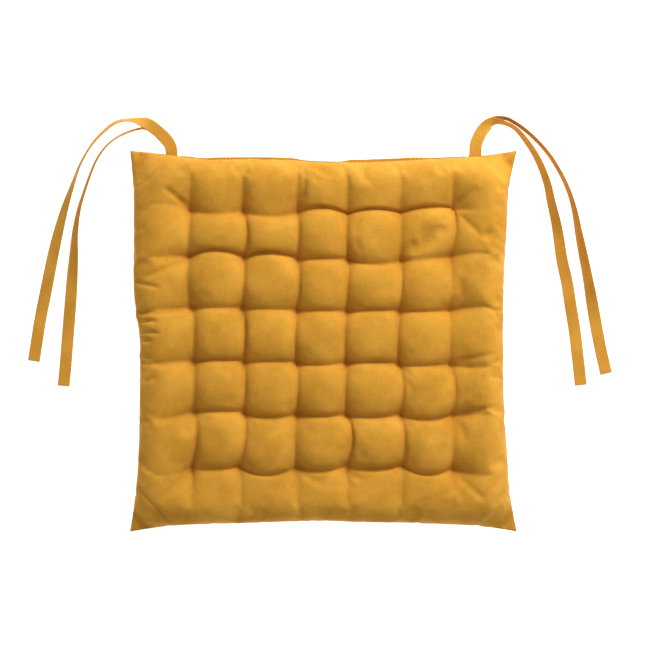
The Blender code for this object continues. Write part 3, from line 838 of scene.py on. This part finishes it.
# %% Stuff the cover
SEAM_HOLD = 0.40
EASE_SHARE = 0.35
EASE_FROM_SEAM = 14 * MM
STEPS = 40
CLOTH = {
    "quality": 6,
    "mass": 0.15,
    "air_damping": 5.0,
    "tension_stiffness": 50.0,
    "compression_stiffness": 25.0,
    "shear_stiffness": 8.0,
    "bending_stiffness": 0.02,
    "tension_damping": 10.0,
    "compression_damping": 10.0,
    "shear_damping": 10.0,
    "bending_damping": 0.5,
    "pin_stiffness": 20.0,
    "use_pressure": True,
    "uniform_pressure_force": 32.0,
    "shrink_min": -0.035,
}
skin_points, skin_faces, upper, lower, inner = sewn_together(*start_shape())
tuft_top = upper[np.ix_(marks_y, marks_x)]
tuft_bottom = lower[np.ix_(marks_y, marks_x)]
pinned = np.concatenate([tuft_top.ravel(), tuft_bottom.ravel()])
skin_points = stuffed(skin_points, skin_faces, pinned, upper[~inner])
keep_x = smooth_step((HALF_WIDTH - np.abs(across_x)) / EASE_FROM_SEAM)
keep_y = smooth_step((HALF_DEPTH - np.abs(across_y)) / EASE_FROM_SEAM)
for grid in (upper, lower):
    skin_points[grid] = eased(skin_points[grid], keep_x, keep_y)
skin_points[:, 2] += SEAM_HEIGHT
print("stuffed: low", skin_points.min(axis=0), "high", skin_points.max(axis=0))

# %% [markdown]
# ## Two panels of cloth
# The blown skin is cut along the seam into its top and bottom panels. The bottom rests on the
# seat: what would hang below it is pressed flat, with a smooth turn where it lifts off. Each
# panel is made on a grid twice as fine, and then given the thickness of the cloth, inwards.

# %% A finer grid, and its normals
def finer(grid):
    """Twice the cells each way. A new point = (9 x its two neighbours - the two beyond) / 16."""
    for axis in (0, 1):
        grid = np.moveaxis(grid, axis, 0)
        before, after = 2 * grid[:1] - grid[1:2], 2 * grid[-1:] - grid[-2:-1]
        padded = np.concatenate([before, grid, after])
        between = (9 * (padded[1:-2] + padded[2:-1]) - padded[:-3] - padded[3:]) / 16
        doubled = np.empty((2 * len(grid) - 1, *grid.shape[1:]))
        doubled[::2] = grid
        doubled[1::2] = between
        grid = np.moveaxis(doubled, 0, axis)
    return grid


def normals(points):
    """Across the grid's two directions, at every point, one long."""
    along_y, along_x = np.gradient(points, axis=(0, 1))
    out = np.cross(along_x, along_y)
    return out / np.linalg.norm(out, axis=-1)[..., None]


def around_each(heights, reach):
    """For each grid point, the heights within reach rows and columns of it, on two more axes."""
    padded = np.pad(heights, reach, mode="edge")
    return np.lib.stride_tricks.sliding_window_view(padded, (2 * reach + 1, 2 * reach + 1))


# %% [markdown]
# ## Creases and crumple
# The big valleys came out of the stuffing, and the sharpest of them are cut a little deeper by
# their table. Cloth also keeps small folds: puckers where the seam was gathered, and a crease or
# two running off a corner tuft. Each is a shallow groove along a short line. Under them lies a
# faint crumple, a few long waves in mixed directions, because no used cotton is quite smooth.

# %% Small folds
# From x, y to x, y, then depth and half-width, all in millimetres on the top panel
CREASES = np.array(
    [
        [-139, 138, -166, 160, 2.2, 3.2],
        [-140, 85, -188, 63, 1.8, 3.0],
        [-198, 62, -166, 54, 2.0, 2.2],
        [-140, 34, -180, 26, 1.8, 2.2],
        [-196, 29, -170, 30, 2.2, 2.0],
        [-197, 20, -168, 21, 2.6, 2.2],
        [-197, 11, -166, 8, 2.6, 2.2],
        [-196, 1, -174, 0, 1.6, 2.0],
        [-194, -23, -156, -25, 1.6, 2.4],
        [-194, -42, -170, -38, 1.4, 2.2],
        [-138, -134, -172, -168, 1.6, 3.5],
        [136, -136, 168, -166, 1.6, 3.5],
        [136, -77, 184, -66, 1.6, 3.0],
        [134, -22, 180, -12, 1.5, 3.0],
        [192, 30, 164, 34, 1.4, 2.4],
        [192, -40, 170, -36, 1.2, 2.4],
        [134, 138, 160, 160, 1.4, 3.5],
        [-22, 142, -18, 176, 2.0, 3.0],
    ]
)
CRUMPLE_WAVES = 14
CRUMPLE_DEPTH = 0.022 * MM
crumple_rng = np.random.default_rng(5)
CRUMPLE_LENGTHS = crumple_rng.uniform(9.0, 30.0, CRUMPLE_WAVES)
CRUMPLE_TURNS = crumple_rng.uniform(0, np.pi, CRUMPLE_WAVES)
CRUMPLE_PHASES = crumple_rng.uniform(0, 2 * np.pi, CRUMPLE_WAVES)


def creased(x, y):
    """Depth = the sum over creases of depth x a bell across the line x a fade at its ends."""
    depth = np.zeros_like(x)
    for x0, y0, x1, y1, deep, half in CREASES * MM:
        length = np.hypot(x1 - x0, y1 - y0)
        along = ((x - x0) * (x1 - x0) + (y - y0) * (y1 - y0)) / length**2
        across = ((y - y0) * (x1 - x0) - (x - x0) * (y1 - y0)) / length
        fade = smooth_step(4 * np.minimum(along, 1 - along))
        depth += deep * fade * np.exp(-((across / half) ** 2))
    return depth


def crumpled(x, y):
    """Height = the sum of long sine waves, each with its own length, direction and start."""
    turns, phases = CRUMPLE_TURNS[:, None, None], CRUMPLE_PHASES[:, None, None]
    travel = x * np.cos(turns) + y * np.sin(turns)
    waves = np.sin(2 * np.pi * travel / (CRUMPLE_LENGTHS[:, None, None] * MM) + phases)
    return CRUMPLE_DEPTH * waves.sum(axis=0)


# %% Panels
CLOTH_THICKNESS = 0.6 * MM
SEAM_OPENING = 0.5 * MM
REST_ROUNDING = 2.0 * MM
SEAM_CALM = 6 * MM
# Painted shade in the valleys: the mean height is taken within so many fine grid points each way, and
# the shade is full at this depth below it
SHADE_REACH = 8
SHADE_DEPTH = 6 * MM
FINE_FLAT = finer(np.stack([FLAT_X, FLAT_Y], axis=-1))


def panel(name, grid, opens, turned):
    """One panel of the cover. It opens by a hair at the seam, and its faces point outwards."""
    points = finer(skin_points[grid])
    x, y = points[..., 0].copy(), points[..., 1].copy()
    flat_x, flat_y = FINE_FLAT[..., 0], FINE_FLAT[..., 1]
    from_seam = np.minimum(HALF_WIDTH - np.abs(flat_x), HALF_DEPTH - np.abs(flat_y))
    calm = smooth_step(from_seam / SEAM_CALM)
    small = crumpled(flat_x, flat_y)
    if not turned:
        small -= creased(x, y) + finer(cut_depths())
    outwards = -normals(points) if turned else normals(points)
    points += outwards * (small * calm)[..., None]
    points[1:-1, 1:-1, 2] += opens
    z = points[..., 2]
    points[..., 2] = (z + np.sqrt(z**2 + REST_ROUNDING**2)) / 2
    faces = grid_faces(*points.shape[:2])
    if turned:
        faces = faces[:, ::-1]
    made = piece(name, points, faces, COVER, FINE_FLAT)
    # Painted shade: "fold" = how far a point lies below the mean height around it, over the shade depth,
    # from 0 to 1
    height = -points[..., 2] if turned else points[..., 2]
    mean_height = around_each(height, SHADE_REACH).mean(axis=(2, 3))
    painted_shade = np.clip((mean_height - height) / SHADE_DEPTH, 0, 1)
    made.data.attributes.new("fold", "FLOAT", "POINT").data.foreach_set("value", painted_shade.ravel())
    wall = made.modifiers.new("cloth thickness", "SOLIDIFY")
    wall.thickness = CLOTH_THICKNESS
    wall.offset = -1
    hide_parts("cover_top" if name == "top_panel" else "cover_bottom")
    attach(made, "pad")
    return points[::2, ::2]


TOP = panel("top_panel", upper, SEAM_OPENING / 2, False)
BOTTOM = panel("bottom_panel", lower, -SEAM_OPENING / 2, True)
print("top panel up to", TOP[..., 2].max())

# %% [markdown]
# ## The filling
# Inside is loose polyester fibre. It never shows, but it is a piece of the pad, so it gets its
# own shape: the inside of the cover, a little smaller. It is taken from a coarser grid, where
# each point is the lowest of the cloth points around it, so that it can't poke out of a valley.

# %% Fibre
FIBRE_STEP = 3
FIBRE_GAP = 1.2 * MM
FIBRE_INSET = 2 * FIBRE_STEP
pick = np.ix_(
    np.arange(FIBRE_INSET, ROWS - FIBRE_INSET, FIBRE_STEP),
    np.arange(FIBRE_INSET, COLUMNS - FIBRE_INSET, FIBRE_STEP),
)
fibre_top = around_each(TOP[..., 2], FIBRE_STEP).min(axis=(2, 3))[pick] - FIBRE_GAP
fibre_bottom = around_each(BOTTOM[..., 2], FIBRE_STEP).max(axis=(2, 3))[pick] + FIBRE_GAP
fibre_top = np.maximum(fibre_top, fibre_bottom + FIBRE_GAP)
fibre_plan = (TOP[pick][..., :2] + BOTTOM[pick][..., :2]) / 2
fibre_rows, fibre_columns = fibre_top.shape
sheets = [np.dstack([fibre_plan, z]).reshape(-1, 3) for z in (fibre_top, fibre_bottom)]
cells = grid_faces(fibre_rows, fibre_columns)
count = fibre_rows * fibre_columns
index = np.arange(count).reshape(fibre_rows, fibre_columns)
rim = np.concatenate([index[0, :-1], index[:-1, -1], index[-1, :0:-1], index[:0:-1, 0]])
ahead = np.roll(rim, -1)
walls = np.stack([rim, rim + count, ahead + count, ahead], axis=-1)
faces = np.vstack([cells, cells[:, ::-1] + count, walls])
filling_flat = np.vstack([FINE_FLAT[::2, ::2][pick].reshape(-1, 2)] * 2)
filling = piece("fibre_filling", np.vstack(sheets), faces, FIBRE, filling_flat)
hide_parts("filling")
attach(filling, "pad")
print("filling of", len(faces), "faces")

# %% [markdown]
# ## Thread
# The sewing thread is two plies twisted together. Its section is a circle with a double
# ripple that turns as it goes along, and that is all it takes to read as twisted thread.


# %% A twisted thread along a line
THREAD_LAY = 2.4 * MM
PLY_RIPPLE = 0.16


def thread(name, line, radius, across, sides=8):
    """A two-ply thread. Radius = the thread's own, times 1 plus a ripple of two waves round it
    that turns once in each length of lay. across is a direction roughly square to the line."""
    travel, first = frame_along(line, across)
    second = np.cross(travel, first)
    way = travelled(line)
    turn = np.linspace(0, 2 * np.pi, sides, endpoint=False)
    twist = 2 * np.pi * way[:, None] / (THREAD_LAY / 2)
    ripple = 1 + PLY_RIPPLE * np.cos(2 * turn[None, :] - twist)
    reach = radius * ripple[..., None]
    ring = np.cos(turn)[:, None] * first[:, None] + np.sin(turn)[:, None] * second[:, None]
    points = line[:, None] + reach * ring
    flat = np.stack(np.broadcast_arrays(turn[None, :] * radius, way[:, None]), axis=-1)
    faces = grid_faces(len(line), sides, True)
    return piece(name, points, faces, THREAD, flat, end_rings(len(line), sides))


# %% [markdown]
# ## Tufts
# A tuft is one stitch of strong thread taken right through the pad and pulled down hard. On the
# top it shows as a short bar at the bottom of its hollow, and the same again underneath.

# %% Thirty-six tufts
THREAD_RADIUS = 0.5 * MM
BAR_HALF = 1.5 * MM
BAR_BURIED = 0.5 * MM
TUFT_SPACING = 0.3 * MM


def tuft_line(top, bottom):
    """Down from a short bar on the top cloth, through the pad, to a bar under the bottom cloth."""
    lift = np.array([0, 0, THREAD_RADIUS])
    bar = np.array([BAR_HALF, 0, 0])
    dip = np.array([0, 0, BAR_BURIED])
    knots = [top - bar - dip, top - bar / 2 + lift, top + lift, top + bar / 2 - dip]
    knots += [(top * 2 + bottom) / 3, (top + 2 * bottom) / 3]
    knots += [bottom - bar / 2 + dip, bottom - lift, bottom + bar / 2 - lift, bottom + bar + dip]
    return smooth_line(np.array(knots), TUFT_SPACING)


tops = skin_points[tuft_top]
bottoms = skin_points[tuft_bottom]
for row, column in np.ndindex(*tuft_top.shape):
    from_front = len(tuft_top) - 1 - row
    line = tuft_line(tops[from_front, column], bottoms[from_front, column])
    stitch = thread(f"tuft_stitch_{row + 1}_{column + 1}", line, THREAD_RADIUS, (0.0, 1.0, 0.0))
    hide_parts(f"tuft_r{row + 1}_c{column + 1}")
    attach(stitch, "pad")
print(tuft_top.size, "tufts")

# %% [markdown]
# ## The edge
# Three sides and the outer ends of the back are sewn from the inside, so only the thread between
# the two cloths shows, as a fine line. The back was left open to fill the pad and was then closed
# by hand between the ties: the two turned-in edges stand out as a narrow lip, oversewn.

# %% Once round the seam
SEAM_SPACING = 0.6 * MM
SEAM_THREAD_RADIUS = 0.25 * MM
SEAM_THREAD_INSET = 0.6 * MM
TAB_CLEARANCE = 2.5 * MM
BACK_BAND = 8 * MM
middle = COLUMNS // 2
back_left, left_side = upper[-1, middle::-1], upper[-2::-1, 0]
back_right, right_side = upper[-1, -2 : middle - 1 : -1], upper[1:, -1]
loop = np.concatenate([back_left, left_side, upper[0, 1:], right_side, back_right])
seam_line = smooth_line(skin_points[loop], SEAM_SPACING)
tie_x = JOINTS["tie_right_swing"]["pos_m"][0]
at_back = seam_line[:, 1] > EDGE_AT_TIE - BACK_BAND
outside = ~at_back | (np.abs(seam_line[:, 0]) > tie_x + TAB_WIDTH / 2 + TAB_CLEARANCE)
around = seam_line[outside]
around[:, :2] *= 1 - SEAM_THREAD_INSET / HALF_WIDTH
edge_thread = thread("edge_thread", around, SEAM_THREAD_RADIUS, (0.0, 0.0, 1.0), sides=6)
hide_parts("seam_stitching")
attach(edge_thread, "pad")

# %% The hand-closed stretch
LIP_OUT = 2.2 * MM
LIP_THICK = 1.4 * MM
OVERSEW_PITCH = 4.0 * MM
CLOSING_SMOOTHING = 41
LIP_SIDES = 14
LIP_MIDDLE = 0.15
SWELL_LEFT = (-128 * MM, -20 * MM)
SWELL_RIGHT = (18 * MM, 112 * MM)
within = at_back & (np.abs(seam_line[:, 0]) < tie_x - TAB_WIDTH / 2 - TAB_CLEARANCE)
closing = seam_line[within]
closing = closing[np.argsort(closing[:, 0])]
bell = np.hanning(CLOSING_SMOOTHING)
beyond = CLOSING_SMOOTHING // 2
padded = np.pad(closing[:, 1:], ((beyond, beyond), (0, 0)), mode="edge")
smoothed = [np.convolve(padded[:, axis], bell / bell.sum(), mode="valid") for axis in (0, 1)]
closing[:, 1:] = np.stack(smoothed, axis=-1)


def standing_out(x):
    """How far the lip stands out along the back: two long swells with a flat place between."""
    outer, inner_end = 20 * MM, 12 * MM
    left = np.clip((x - SWELL_LEFT[0]) / outer, 0, 1) * np.clip((SWELL_LEFT[1] - x) / inner_end, 0, 1)
    right = np.clip((x - SWELL_RIGHT[0]) / inner_end, 0, 1) * np.clip((SWELL_RIGHT[1] - x) / outer, 0, 1)
    return 0.35 + 0.65 * smooth_step(np.maximum(left, right))


turn = np.linspace(0, 2 * np.pi, LIP_SIDES, endpoint=False)
out = LIP_OUT * standing_out(closing[:, 0])[:, None]
lip = np.repeat(closing[:, None], LIP_SIDES, axis=1)
lip[..., 1] += out * (LIP_MIDDLE + 0.85 * np.cos(turn))
lip[..., 2] += LIP_THICK / 2 * np.sign(np.sin(turn)) * np.abs(np.sin(turn)) ** 0.6
lip_flat = np.stack(np.broadcast_arrays(closing[:, :1], LIP_OUT * turn[None, :]), axis=-1)
rings = len(closing)
lip_faces = grid_faces(rings, LIP_SIDES, True)
lip_edge = piece("closing_lip", lip, lip_faces, COVER, lip_flat, end_rings(rings, LIP_SIDES))
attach(lip_edge, "pad")
phase = 2 * np.pi * travelled(closing) / OVERSEW_PITCH
over = closing.copy()
over[:, 1] += out[:, 0] * (LIP_MIDDLE + 0.88 * np.cos(phase))
over[:, 2] += (LIP_THICK / 2 + 0.1 * MM) * np.sin(phase)
oversewing = thread("oversewing", over, SEAM_THREAD_RADIUS, (0.0, 0.0, 1.0), sides=6)
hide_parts("closing_stitching")
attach(oversewing, "pad")
print("seam of", round(float(travelled(around)[-1]), 3), "m, closed by hand over", rings, "rings")
